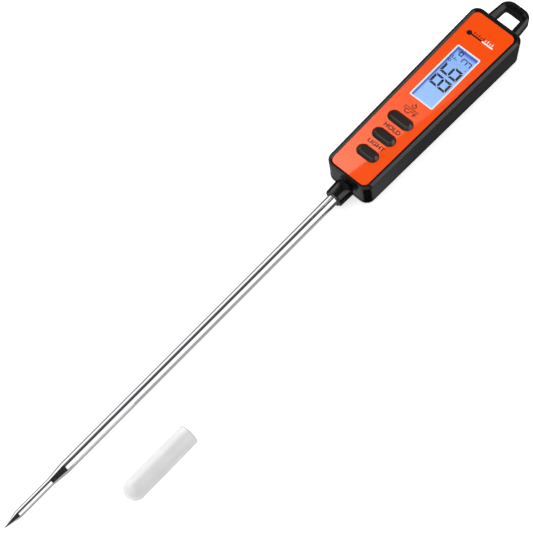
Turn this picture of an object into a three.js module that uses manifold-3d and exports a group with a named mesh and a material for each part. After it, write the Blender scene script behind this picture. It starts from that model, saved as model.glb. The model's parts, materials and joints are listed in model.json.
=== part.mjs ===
// Long-stem probe thermometer with its loose tip cap, lying on its back. Millimetres.
// +X runs along the probe axis toward the hanging loop, +Z comes out of the face, and the
// origin is the centre of the flat back. The probe points along -X; the cap lies on the -Y side.
import * as THREE from 'three';
import { mergeVertices } from 'three/addons/utils/BufferGeometryUtils.js';
import Module from 'manifold-3d';

const wasm = await Module();
wasm.setup();

// ---- driving dimensions ----
const FACE_Z = 17.0;               // outer surface of the face panel
const PARTING_Z = 3.0;             // line between the front case and the back cover
const WALL = 2.0;
const FIT = 0.12;                  // gap round an inlaid piece
const CASE = { x0: -52.0, x1: 53.4, h0: 12.16, h1: 13.92, r0: 4.5, r1: 4.2, endDraft: 1.5 };
const CREST = { rise: 0.5, side: 1.34, probeEnd: 0.15, loopEnd: 1.3, drop: 1.25 };
const PANEL = { x0: -50.8, x1: 50.6, h0: 9.9, h1: 11.47, r0: 2.6, r1: 2.9, thick: 0.8 };
const DISPLAY = { x: 14.5, y: -0.35, long: 33.8, wide: 13.1, border: 0.85, corner: 0.8 };
const DECK = { top: FACE_Z - PANEL.thick - 0.1, under: 14.9 };
const BUTTONS = [
  { name: 'light', x: -37.25, long: 5.8, wide: 10.8 },
  { name: 'hold', x: -26.35, long: 5.8, wide: 11.6 },
  { name: 'power', x: -15.35, long: 5.8, wide: 12.7 },
];
const BUTTON = { proud: 1.5, clearance: 0.2, flange: 0.9, flangeTop: 14.55, flangeBottom: 13.5,
  stemBottom: 12.4, stemR: 1.2 };
const BOARD = { x0: -41.2, x1: 42.0, half: 8.8, z0: 9.1, z1: 10.3 };
const PROBE = { z: 5.7, r: 2.7, wall: 0.3, inner: -41.0, neckStart: -227.1, neckEnd: -235.3,
  tipR: 1.88, coneStart: -254.3, tip: -262.4 };
const COLLAR = { outer: -59.4, root: -51.65, lockX: -48.0, rootR: 4.75, endR: 4.5, neckR: 3.5,
  grooveDepth: 0.95, grooves: 6 };
const LOOP = { x0: 53.7, x1: 68.4, h0: 8.6, h1: 7.3, r: 4.6, midZ: 8.7, wallHalf: 2.05, roof: 0.8,
  outerSlope: 1.3, innerSlope: 2.15, holeX0: 54.9, holeX1: 64.3, holeH0: 5.05, holeH1: 4.6, holeR: 1.3 };
const BATTERY = { x: 27.0, r: 5.8, z0: 2.75, z1: 8.15 };
const COVER = { r: 8.3, holeR: 8.5, tabR: 9.2, grooveR: 9.45, z0: 0.35, z1: 1.9, unlockTurn: -45 };
const SCREWS = [[-45.6, 7.3], [-45.6, -7.3], [46.4, 8.6], [46.4, -8.6]];
const CAP = { r: 4.95, wall: 0.9, mouth: -181.8, length: 37.4, y: -27.65 };

const ROUND = 28;                  // sides of a full circle
const CORNER = 5;                  // steps round an outline's corner

// ---- materials ----
const finish = (color, roughness, metalness = 0, extra = {}) =>
  new THREE.MeshStandardMaterial({ color, roughness, metalness, ...extra });
const LOOKS = {
  casing: () => finish(0x1b1d1c, 0.42),
  panel: () => finish(0xff4f14, 0.3),
  white: () => finish(0xf4f5f7, 0.4),
  clear: () => finish(0xdfe9f2, 0.05, 0, { transparent: true, opacity: 0.3 }),
  lcd: () => finish(0x8fc0ff, 0.25),
  guide: () => finish(0xe8f1ff, 0.15),
  button: () => finish(0x101111, 0.2),
  steel: () => finish(0xc9cccf, 0.18, 1),
  seal: () => finish(0x2a2a2c, 0.8),
  board: () => finish(0x1e6b3c, 0.5),
  chip: () => finish(0x121212, 0.6),
  gold: () => finish(0xd8b15a, 0.3, 1),
  wire: () => finish(0xb8332a, 0.5),
  potting: () => finish(0x6f7478, 0.6),
  cap: () => finish(0xf2f4f5, 0.3, 0, { transparent: true, opacity: 0.6 }),
};

// ---- solids ----
function solid(geometry) {
  const bare = (geometry.index ? geometry.toNonIndexed() : geometry).clone();
  bare.deleteAttribute('normal');
  bare.deleteAttribute('uv');
  const merged = mergeVertices(bare, 1e-4);
  return new wasm.Manifold(new wasm.Mesh({
    numProp: 3,
    vertProperties: Float32Array.from(merged.attributes.position.array),
    triVerts: Uint32Array.from(merged.index.array),
  }));
}

function geometryOf(manifold) {
  const { vertProperties, triVerts } = manifold.getMesh();
  const geometry = new THREE.BufferGeometry();
  geometry.setAttribute('position', new THREE.BufferAttribute(Float32Array.from(vertProperties), 3));
  geometry.setIndex(new THREE.BufferAttribute(Uint32Array.from(triVerts), 1));
  geometry.computeVertexNormals();
  return geometry;
}

const join = (...pieces) => pieces.reduce((whole, piece) => whole.add(piece));
const cut = (body, ...tools) => tools.reduce((rest, tool) => rest.subtract(tool), body);

// Corner points of a polygon with rounded corners, the same number for every polygon.
function roundedPolygon(corners, radii, steps = CORNER) {
  const points = [];
  corners.forEach((corner, i) => {
    const before = corners[(i + corners.length - 1) % corners.length];
    const after = corners[(i + 1) % corners.length];
    const back = before.clone().sub(corner).normalize();
    const ahead = after.clone().sub(corner).normalize();
    const half = Math.acos(THREE.MathUtils.clamp(back.dot(ahead), -1, 1)) / 2;
    const radius = radii[i];
    const middle = corner.clone().add(
      back.clone().add(ahead).normalize().multiplyScalar(radius / Math.sin(half)));
    const start = corner.clone().add(back.multiplyScalar(radius / Math.tan(half))).sub(middle);
    const sweep = Math.PI - 2 * half;
    for (let k = 0; k <= steps; k += 1) {
      points.push(start.clone().rotateAround(new THREE.Vector2(), sweep * k / steps).add(middle));
    }
  });
  return points;
}

// A plan outline that tapers from half width h0 at x0 to h1 at x1.
function taper({ x0, x1, h0, h1, r0, r1 }, steps = CORNER) {
  const corners = [[x0, -h0], [x1, -h1], [x1, h1], [x0, h0]].map((c) => new THREE.Vector2(...c));
  return roundedPolygon(corners, [r0, r1, r1, r0], steps);
}

const rectangle = (x, y, long, wide, r) => taper(
  { x0: x - long / 2, x1: x + long / 2, h0: wide / 2, h1: wide / 2, r0: r, r1: r })
  .map((p) => p.add(new THREE.Vector2(0, y)));

// An outline pulled in by a distance, the same all round.
function inset(base, by, least = 0.4) {
  return taper({ x0: base.x0 + by, x1: base.x1 - by, h0: base.h0 - by, h1: base.h1 - by,
    r0: Math.max(base.r0 - by, least), r1: Math.max(base.r1 - by, least) });
}

// The case outline near the parting line, where the probe end leans in.
const drafted = (by) => inset({ ...CASE, x0: CASE.x0 + CASE.endDraft }, by);

// Stacks outlines of equal point count at rising heights into one closed solid.
function loft(levels) {
  const count = levels[0].points.length;
  const positions = levels.flatMap(({ points, z }) => points.flatMap((p) => [p.x, p.y, z]));
  const triangles = [];
  levels.slice(1).forEach((_, level) => {
    for (let i = 0; i < count; i += 1) {
      const a = level * count + i;
      const b = level * count + (i + 1) % count;
      triangles.push(a, b, b + count, a, b + count, a + count);
    }
  });
  const capOf = (points) => THREE.ShapeUtils.triangulateShape(points, []);
  capOf(levels[0].points).forEach(([a, b, c]) => triangles.push(a, c, b));
  const top = (levels.length - 1) * count;
  capOf(levels.at(-1).points).forEach(([a, b, c]) => triangles.push(top + a, top + b, top + c));
  const geometry = new THREE.BufferGeometry();
  geometry.setAttribute('position', new THREE.Float32BufferAttribute(positions, 3));
  geometry.setIndex(triangles);
  return solid(geometry);
}

const prism = (points, z0, z1) => loft([{ points, z: z0 }, { points, z: z1 }]);
const block = (x0, x1, y0, y1, z0, z1) => solid(new THREE.BoxGeometry(x1 - x0, y1 - y0, z1 - z0)
  .translate((x0 + x1) / 2, (y0 + y1) / 2, (z0 + z1) / 2));
const rod = (x, y, r, z0, z1, sides = ROUND) => solid(new THREE.CylinderGeometry(r, r, z1 - z0, sides)
  .rotateX(Math.PI / 2).translate(x, y, (z0 + z1) / 2));

// A turned piece on the probe axis: profile points are [x, radius], from -X to +X.
function turned(profile, y, z, sides = ROUND) {
  const points = profile.map(([x, r]) => new THREE.Vector2(r, x));
  const geometry = new THREE.LatheGeometry(points, sides).rotateZ(-Math.PI / 2);
  const body = solid(geometry.translate(0, y, z));
  return body.volume() < 0 ? solid(flipped(geometry)) : body;
}

function flipped(geometry) {
  const order = geometry.index.array;
  for (let i = 0; i < order.length; i += 3) [order[i], order[i + 1]] = [order[i + 1], order[i]];
  return geometry;
}

const alongProbe = (x0, x1, r, sides = ROUND) =>
  turned([[x0, 0], [x0, r], [x1, r], [x1, 0]], 0, PROBE.z, sides);

// ---- casing ----
const caseTop = {
  x0: CASE.x0 + CREST.probeEnd, x1: CASE.x1 - CREST.loopEnd,
  h0: CASE.h0 - CREST.side, h1: CASE.h1 - CREST.side, r0: 3.6, r1: 3.9,
};

const collarNeck = (clearance) => alongProbe(COLLAR.root - 1, COLLAR.lockX + 3, COLLAR.neckR + clearance);

// The square lock that keeps the collar from turning or pulling out of the case.
const collarLock = (clearance) => block(
  COLLAR.lockX - clearance, COLLAR.lockX + 1.5 + clearance,
  -4.6 - clearance, 4.6 + clearance, 2.1 - clearance, 9.6 + clearance);

function frontCase() {
  const chamferZ = FACE_Z - CREST.drop;
  const crestZ = FACE_Z + CREST.rise;
  const outside = loft([
    { points: drafted(0.2), z: PARTING_Z },
    { points: inset(CASE, 0), z: chamferZ },
    { points: taper(caseTop), z: crestZ },
  ]);
  const cavity = loft([
    { points: drafted(WALL + 0.2), z: PARTING_Z - 1 },
    { points: drafted(WALL + 0.2), z: PARTING_Z },
    { points: inset(CASE, WALL), z: DECK.under },
  ]);
  const sealStep = prism(drafted(1.3), PARTING_Z - 1, PARTING_Z + 0.9);
  const pocket = prism(inset(PANEL, -FIT), DECK.top, FACE_Z + 2);
  const slope = loft([
    { points: inset(PANEL, -FIT), z: FACE_Z - 0.05 },
    { points: inset(PANEL, -FIT - 0.85), z: crestZ + 0.02 },
    { points: inset(PANEL, -FIT - 0.87), z: crestZ + 1 },
  ]);
  const window = prism(rectangle(DISPLAY.x, DISPLAY.y, DISPLAY.long + 0.3, DISPLAY.wide + 0.3, 0.9),
    DECK.under - 1, DECK.top + 1);
  const keyholes = BUTTONS.map((b) => prism(capsule(b, BUTTON.clearance), DECK.under - 1, DECK.top + 1));
  const bosses = SCREWS.map(([x, y]) => rod(x, y, 2.3, PARTING_Z + 0.1, DECK.under + 0.3, 20));
  const pilots = SCREWS.map(([x, y]) => rod(x, y, 1.05, 0, 10, 14));
  const loopSlot = block(CASE.x1 - WALL - 1, CASE.x1 + 1, -6.2, 6.2,
    LOOP.midZ - 1.9, LOOP.midZ + 1.9);
  const shell = cut(outside, cavity, sealStep, pocket, slope, window, ...keyholes,
    collarNeck(0.2), loopSlot);
  return cut(join(shell, ...bosses), ...pilots);
}

function capsule({ x, long, wide }, grow = 0) {
  const r = long / 2 + grow - 0.01;
  return rectangle(x, 0, long + 2 * grow, wide + 2 * grow, r);
}

function backCover() {
  const edge = [[1.9, 0], [1.2, 0.25], [0.6, 0.8], [0.3, 1.6], [0.2, PARTING_Z - 0.15]];
  const plate = loft(edge.map(([by, z]) => ({ points: drafted(by), z })));
  const hollow = prism(drafted(WALL + 1.4), 1.7, PARTING_Z + 3);
  const lip = cut(
    prism(drafted(WALL + 0.35), 1.7, PARTING_Z + 1.4),
    prism(drafted(WALL + 1.4), 1, PARTING_Z + 3));
  const seat = rod(BATTERY.x, 0, 10.6, 1.2, 3.8);
  const well = rod(BATTERY.x, 0, 7.3, 3.0, 7.6);
  const screwPads = SCREWS.map(([x, y]) => rod(x, y, 3.1, 1.2, PARTING_Z, 20));
  const bore = rod(BATTERY.x, 0, BATTERY.r + 0.35, 0, 9);
  const mouth = rod(BATTERY.x, 0, COVER.holeR, -1, 2.65);
  const groove = rod(BATTERY.x, 0, COVER.grooveR, 1.3, 2.15);
  const entries = tabAngles(COVER.unlockTurn).map((angle) => tab(angle, COVER.grooveR, -1, 1.4, 30));
  const heads = SCREWS.map(([x, y]) => rod(x, y, 2.1, -1, 1.85, 20));
  const holes = SCREWS.map(([x, y]) => rod(x, y, 1.15, 0, 4, 14));
  const bossRoom = SCREWS.map(([x, y]) => rod(x, y, 2.5, PARTING_Z, PARTING_Z + 3, 20));
  const wireGap = block(BATTERY.x - 9, BATTERY.x - 5, -1.2, 1.2, 4.4, 9);
  return cut(join(cut(plate, hollow), cut(lip, ...bossRoom), seat, well, ...screwPads),
    bore, mouth, groove, ...entries, ...heads, ...holes, wireGap, collarNeck(0.2), collarLock(0.25));
}

const tabAngles = (turn) => [90, 210, 330].map((degrees) => degrees + turn);

// One bayonet tab or its entry notch, as a sector of a round disc.
function tab(degrees, r, z0, z1, width) {
  const half = THREE.MathUtils.degToRad(width / 2);
  const middle = THREE.MathUtils.degToRad(degrees);
  const arc = Array.from({ length: 7 }, (_, k) => middle - half + half * k / 3);
  const points = [new THREE.Vector2(), ...arc.map((a) => new THREE.Vector2(Math.cos(a), Math.sin(a))
    .multiplyScalar(r))].map((p) => p.add(new THREE.Vector2(BATTERY.x, 0)));
  return prism(points, z0, z1);
}

function caseGasket() {
  const ring = cut(prism(drafted(1.42), PARTING_Z, PARTING_Z + 0.75),
    prism(drafted(2.22), PARTING_Z - 1, PARTING_Z + 2));
  return cut(ring, collarNeck(0.35));
}

function hangLoop() {
  const outline = (by) => taper({ x0: LOOP.x0, x1: LOOP.x1 - by, h0: LOOP.h0 - by, h1: LOOP.h1 - by,
    r0: 0.5, r1: LOOP.r - by });
  const hole = (by) => taper({ x0: LOOP.holeX0 - by * 0.4, x1: LOOP.holeX1 + by,
    h0: LOOP.holeH0 + by, h1: LOOP.holeH1 + by, r0: LOOP.holeR * 0.6, r1: LOOP.holeR + by });
  const eave = LOOP.wallHalf;
  const ridge = LOOP.wallHalf + LOOP.roof;
  const bar = loft([
    { points: outline(LOOP.outerSlope), z: LOOP.midZ - ridge },
    { points: outline(0), z: LOOP.midZ - eave },
    { points: outline(0), z: LOOP.midZ + eave },
    { points: outline(LOOP.outerSlope), z: LOOP.midZ + ridge },
  ]);
  const eye = loft([
    { points: hole(LOOP.innerSlope + 0.3), z: LOOP.midZ - ridge - 0.1 },
    { points: hole(0), z: LOOP.midZ - eave },
    { points: hole(0), z: LOOP.midZ + eave },
    { points: hole(LOOP.innerSlope + 0.3), z: LOOP.midZ + ridge + 0.1 },
  ]);
  const tongue = block(CASE.x1 - WALL - 0.6, LOOP.x0 + 0.6, -5.9, 5.9, LOOP.midZ - 1.6, LOOP.midZ + 1.6);
  const stop = block(CASE.x1 - WALL - 2.0, CASE.x1 - WALL - 0.5, -7.2, 7.2,
    LOOP.midZ - 1.6, LOOP.midZ + 1.6);
  return join(cut(bar, eye), tongue, stop);
}

// ---- face ----
function facePanel() {
  const sheet = prism(inset(PANEL, 0), FACE_Z - PANEL.thick, FACE_Z);
  const window = prism(rectangle(DISPLAY.x, DISPLAY.y, DISPLAY.long + 2 * FIT, DISPLAY.wide + 2 * FIT,
    DISPLAY.corner + FIT), 0, 30);
  return cut(sheet, window, ...BUTTONS.map((b) => prism(capsule(b, BUTTON.clearance), 0, 30)));
}

function windowFrame() {
  const inner = DISPLAY.border;
  return cut(
    prism(rectangle(DISPLAY.x, DISPLAY.y, DISPLAY.long, DISPLAY.wide, DISPLAY.corner),
      FACE_Z - 1.1, FACE_Z + 0.08),
    prism(rectangle(DISPLAY.x, DISPLAY.y, DISPLAY.long - 2 * inner, DISPLAY.wide - 2 * inner, 0.4), 0, 30));
}

function displayWindow() {
  const gap = DISPLAY.border + 0.1;
  return prism(rectangle(DISPLAY.x, DISPLAY.y, DISPLAY.long - 2 * gap, DISPLAY.wide - 2 * gap, 0.4),
    FACE_Z - 0.9, FACE_Z - 0.05);
}

function button(spec) {
  const top = FACE_Z + BUTTON.proud;
  const crown = [[0, BUTTON.flangeTop - 0.2], [0, top - 0.6], [0.2, top - 0.25], [0.6, top - 0.06], [1.3, top]];
  const cap = loft(crown.map(([by, z]) => ({ points: capsule(spec, -by), z })));
  const flange = prism(capsule(spec, BUTTON.flange), BUTTON.flangeBottom, BUTTON.flangeTop);
  return join(cap, flange, rod(spec.x, 0, BUTTON.stemR, BUTTON.stemBottom, BUTTON.flangeBottom + 0.2, 16));
}

function pushSwitch({ x }) {
  return join(block(x - 2.3, x + 2.3, -2.3, 2.3, BOARD.z1 + 0.1, BOARD.z1 + 1.2),
    rod(x, 0, 0.95, BOARD.z1 + 1, BOARD.z1 + 1.45, 16));
}

// ---- inside the case ----
const LCD = { x: DISPLAY.x, y: DISPLAY.y, long: 38, wide: 15.4, z0: 12.3, z1: 14.7 };

const lcdGlass = () => join(
  block(LCD.x - LCD.long / 2, LCD.x + LCD.long / 2, LCD.y - LCD.wide / 2, LCD.y + LCD.wide / 2,
    LCD.z0, LCD.z0 + 1.15),
  block(LCD.x - LCD.long / 2, LCD.x + LCD.long / 2, LCD.y - LCD.wide / 2, LCD.y + LCD.wide / 2 - 1.6,
    LCD.z0 + 1.1, LCD.z1));

function lcdHolder() {
  const outer = rectangle(LCD.x, LCD.y, LCD.long + 2.6, LCD.wide + 2.4, 0.8);
  const inner = rectangle(LCD.x, LCD.y, LCD.long + 0.3, LCD.wide + 0.3, 0.3);
  return cut(prism(outer, BOARD.z1 + 0.1, LCD.z1), prism(inner, 0, 30));
}

const lightGuide = () => block(LCD.x - 17.5, LCD.x + 16.8, LCD.y - 6.9, LCD.y + 5.3,
  BOARD.z1 + 0.3, LCD.z0 - 0.15);
const backlightLed = () => block(LCD.x + 17.1, LCD.x + 18.4, LCD.y - 2, LCD.y + 2,
  BOARD.z1 + 0.1, LCD.z0 - 0.3);
const zebraStrip = () => block(LCD.x - 17, LCD.x + 17, LCD.y + 5.7, LCD.y + 7.2,
  BOARD.z1 + 0.1, LCD.z0 - 0.1);

function circuitBoard() {
  const sheet = prism(taper({ x0: BOARD.x0, x1: BOARD.x1, h0: BOARD.half, h1: BOARD.half, r0: 1.5, r1: 1.5 }),
    BOARD.z0, BOARD.z1);
  return cut(sheet, rod(-20.8, 6.5, 1.0, 0, 20, 14), rod(-20.8, -6.5, 1.0, 0, 20, 14));
}

const controllerChip = () => loft([[0, 10.4], [0.3, 10.9], [1.2, 11.25]].map(([by, z]) => (
  { points: rectangle(-9.3, 3.6, 6 - 2 * by, 6 - 2 * by, 2.6 - by * 0.8), z })));

// ---- battery bay ----
const batteryCell = () => join(
  rod(BATTERY.x, 0, BATTERY.r, BATTERY.z0, BATTERY.z1 - 0.6),
  rod(BATTERY.x, 0, BATTERY.r - 0.6, BATTERY.z1 - 0.7, BATTERY.z1));

// A leaf spring folded down from the board to the cell's small pole.
const negativeContact = () => join(
  block(BATTERY.x - 5, BATTERY.x + 4, -1.6, 1.6, BOARD.z0 - 0.35, BOARD.z0 - 0.1),
  block(BATTERY.x + 3.6, BATTERY.x + 4, -1.6, 1.6, BOARD.z0 - 0.85, BOARD.z0 - 0.2),
  block(BATTERY.x - 2, BATTERY.x + 4, -1.6, 1.6, BOARD.z0 - 0.85, BOARD.z0 - 0.6));

// A blade beside the cell, in the slot of the well, bent over on the board.
const positiveContact = () => join(
  block(BATTERY.x - 6.25, BATTERY.x - 5.95, -1, 1, 4.8, BOARD.z0 - 0.1),
  block(BATTERY.x - 8.6, BATTERY.x - 5.95, -1, 1, BOARD.z0 - 0.4, BOARD.z0 - 0.1));

function batteryCover() {
  const disc = rod(BATTERY.x, 0, COVER.r, COVER.z0, COVER.z1, 36);
  const tabs = tabAngles(0).map((angle) => tab(angle, COVER.tabR, 1.42, COVER.z1, 24));
  const slot = block(BATTERY.x - 6, BATTERY.x + 6, -0.9, 0.9, -1, COVER.z0 + 0.85);
  return cut(join(disc, ...tabs), slot);
}

const coverSeal = () => cut(rod(BATTERY.x, 0, 8.0, 2.1, 2.55), rod(BATTERY.x, 0, 7.2, 1, 4));

// ---- probe ----
function probeTube() {
  const inside = PROBE.r - PROBE.wall;
  const profile = [
    [PROBE.tip, 0], [PROBE.tip + 0.15, 0.12], [PROBE.coneStart, PROBE.tipR], [PROBE.neckEnd, PROBE.tipR],
    [PROBE.neckStart, PROBE.r], [PROBE.inner, PROBE.r], [PROBE.inner, inside],
    [PROBE.neckStart - 1, inside], [PROBE.neckEnd - 0.5, PROBE.tipR - 0.38],
    [PROBE.coneStart + 1, PROBE.tipR - 0.38], [PROBE.coneStart + 0.4, 0],
  ];
  return turned(profile, 0, PROBE.z, 32);
}

// The moulded collar: six long ribs between scooped grooves, then the neck through the end wall.
function probeCollar() {
  const end = COLLAR.root;
  const grip = turned([[COLLAR.outer, 0], [COLLAR.outer, COLLAR.endR - 0.35], [COLLAR.outer + 0.5, COLLAR.endR],
    [end, COLLAR.rootR], [end, 0]], 0, PROBE.z, 36);
  const grooves = Array.from({ length: COLLAR.grooves }, (_, k) => {
    const angle = k * 2 * Math.PI / COLLAR.grooves;
    const width = 2.3;
    return solid(new THREE.BoxGeometry(end - 0.9 - (COLLAR.outer - 1), width, 2)
      .translate((end - 0.9 + COLLAR.outer - 1) / 2, 0, COLLAR.rootR - COLLAR.grooveDepth + 1)
      .rotateX(angle).translate(0, 0, PROBE.z));
  });
  const neck = alongProbe(end - 0.2, COLLAR.lockX + 0.2, COLLAR.neckR);
  const bore = alongProbe(COLLAR.outer - 1, COLLAR.lockX + 5, PROBE.r + 0.1, 32);
  const sealRoom = alongProbe(-56.4, -55.2, PROBE.r + 0.95);
  return cut(join(cut(grip, ...grooves), neck, collarLock(0)), bore, sealRoom);
}

const collarSeal = () => cut(alongProbe(-56.3, -55.3, PROBE.r + 0.85),
  alongProbe(-58, -54, PROBE.r + 0.15, 32));

const probeFerrule = () => cut(
  turned([[-46.0, 0], [-46.0, 3.7], [-45.0, 3.7], [-44.6, 3.2], [-42.3, 3.2], [-42.3, 0]], 0, PROBE.z),
  alongProbe(-50, -40, PROBE.r + 0.1, 32));

const thermistorBead = () => solid(new THREE.SphereGeometry(0.75, 14, 10)
  .translate(-251, 0, PROBE.z));

const tipFiller = () => cut(alongProbe(-253.0, -245.5, 1.35, 16), alongProbe(-252.2, -245, 0.95, 16));

function sensorWire(side) {
  const y = side * 0.45;
  const r = 0.22;
  const run = solid(new THREE.CylinderGeometry(r, r, 210, 8).rotateZ(Math.PI / 2)
    .translate(-144.9, y, PROBE.z));
  const bend = new THREE.CatmullRomCurve3([[-40.1, y, PROBE.z], [-39.4, y, PROBE.z + 0.1],
    [-38.9, y * 2, PROBE.z + 1.2], [-38.6, y * 3, BOARD.z0 - 0.15]].map((p) => new THREE.Vector3(...p)));
  const section = new THREE.Shape(Array.from({ length: 8 }, (_, k) => new THREE.Vector2(
    r * Math.cos(k * Math.PI / 4), r * Math.sin(k * Math.PI / 4))));
  const rise = new THREE.ExtrudeGeometry(section, { steps: 10, extrudePath: bend });
  return join(run, solid(rise));
}

// ---- fasteners and cap ----
function caseScrew([x, y]) {
  const head = rod(x, y, 1.9, 0.5, 1.7, 20);
  const shank = rod(x, y, 0.95, 1.6, 9, 12);
  const cross = [block(x - 1.1, x + 1.1, y - 0.25, y + 0.25, 0, 1.1),
    block(x - 0.25, x + 0.25, y - 1.1, y + 1.1, 0, 1.1)];
  return cut(join(head, shank), ...cross);
}

// A round-ended sleeve, open toward +X.
function tipCap() {
  const closed = CAP.mouth - CAP.length;
  const dome = (r, x) => Array.from({ length: 8 }, (_, k) => {
    const angle = k * Math.PI / 14;
    return [x + r - r * Math.cos(angle), r * Math.sin(angle)];
  });
  const inner = CAP.r - CAP.wall;
  const profile = [...dome(CAP.r, closed), [CAP.mouth, CAP.r], [CAP.mouth, inner],
    ...dome(inner, closed + CAP.wall).reverse()];
  return turned(profile, CAP.y, CAP.r, 32);
}

// ---- assembly ----
const thermometer = new THREE.Group();
function add(name, manifold, look) {
  const mesh = new THREE.Mesh(geometryOf(manifold), LOOKS[look]());
  mesh.name = name;
  thermometer.add(mesh);
}

add('front_case', frontCase(), 'casing');
add('back_cover', backCover(), 'casing');
add('case_gasket', caseGasket(), 'seal');
add('hang_loop', hangLoop(), 'casing');
add('face_panel', facePanel(), 'panel');
add('window_frame', windowFrame(), 'white');
add('display_window', displayWindow(), 'clear');
add('lcd_glass', lcdGlass(), 'lcd');
add('lcd_holder', lcdHolder(), 'white');
add('light_guide', lightGuide(), 'guide');
add('backlight_led', backlightLed(), 'guide');
add('zebra_strip', zebraStrip(), 'seal');
add('circuit_board', circuitBoard(), 'board');
add('controller_chip', controllerChip(), 'chip');
BUTTONS.forEach((spec) => add(`${spec.name}_button`, button(spec), 'button'));
BUTTONS.forEach((spec) => add(`${spec.name}_switch`, pushSwitch(spec), 'chip'));
add('battery_cell', batteryCell(), 'steel');
add('battery_contact_negative', negativeContact(), 'gold');
add('battery_contact_positive', positiveContact(), 'gold');
add('battery_cover', batteryCover(), 'casing');
add('battery_cover_seal', coverSeal(), 'seal');
add('probe_tube', probeTube(), 'steel');
add('probe_collar', probeCollar(), 'casing');
add('collar_seal', collarSeal(), 'seal');
add('probe_ferrule', probeFerrule(), 'steel');
add('thermistor_bead', thermistorBead(), 'chip');
add('tip_filler', tipFiller(), 'potting');
add('sensor_wire_a', sensorWire(1), 'wire');
add('sensor_wire_b', sensorWire(-1), 'wire');
SCREWS.forEach((place, k) => add(`case_screw_${k + 1}`, caseScrew(place), 'steel'));
add('tip_cap', tipCap(), 'cap');

export default thermometer;
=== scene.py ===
import bmesh
import bpy
import json
import math
from mathutils import Matrix, Vector

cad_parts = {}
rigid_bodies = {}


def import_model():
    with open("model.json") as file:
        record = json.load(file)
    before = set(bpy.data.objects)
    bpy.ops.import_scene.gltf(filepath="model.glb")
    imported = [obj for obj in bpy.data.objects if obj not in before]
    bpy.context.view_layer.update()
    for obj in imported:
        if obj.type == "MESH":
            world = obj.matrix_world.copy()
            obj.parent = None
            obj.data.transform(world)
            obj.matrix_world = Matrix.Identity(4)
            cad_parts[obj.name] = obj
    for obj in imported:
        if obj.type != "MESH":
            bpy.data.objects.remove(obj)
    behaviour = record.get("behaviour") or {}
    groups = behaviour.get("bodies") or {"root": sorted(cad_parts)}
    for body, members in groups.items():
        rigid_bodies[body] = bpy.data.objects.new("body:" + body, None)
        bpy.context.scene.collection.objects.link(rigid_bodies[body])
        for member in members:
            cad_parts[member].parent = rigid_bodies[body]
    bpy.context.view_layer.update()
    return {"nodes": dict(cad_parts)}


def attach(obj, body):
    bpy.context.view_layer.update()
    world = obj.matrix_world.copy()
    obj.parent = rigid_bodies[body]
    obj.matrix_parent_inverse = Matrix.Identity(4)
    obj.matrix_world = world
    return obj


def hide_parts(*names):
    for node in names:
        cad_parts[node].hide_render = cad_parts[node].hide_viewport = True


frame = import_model()
scene = bpy.context.scene
mm = 0.001          # pieces are drawn at one unit to the millimetre and brought to metres when done
print("frame loaded:", len(frame["nodes"]), "nodes")


# modelling helpers
def setMode(mode):
    if bpy.context.object and bpy.context.object.mode != mode:
        bpy.ops.object.mode_set(mode=mode)


def takeNothing():
    setMode("OBJECT")
    bpy.ops.object.select_all(action="DESELECT")


def takeOnly(piece):
    takeNothing()
    piece.select_set(True)
    bpy.context.view_layer.objects.active = piece


# leaves the active piece at the origin, unturned and unscaled, with its mesh where it was
def settle():
    bpy.ops.object.transform_apply(location=True, rotation=True, scale=True)


def blankMesh(name):
    takeNothing()
    bpy.ops.object.add(type="MESH", location=(0, 0, 0))
    piece = bpy.context.object
    piece.name = name
    setMode("EDIT")
    return piece


# selects the vertices, edges or faces that pass the test, among those selected already if within is set
def pick(kind, test, within=False):
    bpy.ops.mesh.select_mode(type=kind)
    mesh = bmesh.from_edit_mesh(bpy.context.object.data)
    parts = {"VERT": mesh.verts, "EDGE": mesh.edges, "FACE": mesh.faces}[kind]
    chosen = [part for part in parts if (part.select or not within) and test(part)]
    for group in (mesh.faces, mesh.edges, mesh.verts):
        for part in group:
            part.select = False
    for part in chosen:
        part.select_set(True)
    bmesh.update_edit_mesh(bpy.context.object.data, loop_triangles=False, destructive=False)


def faceOutward():
    bpy.ops.mesh.select_mode(type="VERT")
    bpy.ops.mesh.select_all(action="SELECT")
    bpy.ops.mesh.normals_make_consistent(inside=False)


# a plan outline: x0 to x1, half widths h0 and h1 at those ends, corner radii r0 and r1
def rectangle(x, y, long, wide, r):
    return dict(x0=x - long / 2, x1=x + long / 2, h0=wide / 2, h1=wide / 2, r0=r, r1=r, y=y)


def grown(outline, by, leastRadius=0.4):
    made = dict(outline)
    made.update(x0=outline["x0"] - by, x1=outline["x1"] + by, h0=outline["h0"] + by, h1=outline["h1"] + by)
    made.update(r0=max(outline["r0"] + by, leastRadius), r1=max(outline["r1"] + by, leastRadius))
    return made


def atHeight(part, z):
    return all(abs(v.co.z - z) < 1e-4 for v in getattr(part, "verts", [part]))


# one rounded outline at a height of its own, added to the mesh being edited
def drawRing(outline, z, steps):
    middle = Vector(((outline["x0"] + outline["x1"]) / 2, outline.get("y", 0), z))
    bpy.ops.mesh.select_mode(type="VERT")
    bpy.ops.mesh.primitive_plane_add(size=1, location=middle)
    size = (outline["x1"] - outline["x0"], 2 * outline["h0"], 1)
    bpy.ops.transform.resize(value=size, center_override=middle)
    pick("VERT", lambda v: v.co.x > middle.x, within=True)
    bpy.ops.transform.resize(value=(1, outline["h1"] / outline["h0"], 1), center_override=middle)
    for side, radius in ((-1, outline["r0"]), (1, outline["r1"])):
        pick("VERT", lambda v: atHeight(v, z) and (v.co.x - middle.x) * side > 0)
        bpy.ops.mesh.bevel(offset=radius, segments=steps, affect="VERTICES")
    pick("FACE", lambda f: atHeight(f, z))
    bpy.ops.mesh.delete(type="ONLY_FACE")


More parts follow.
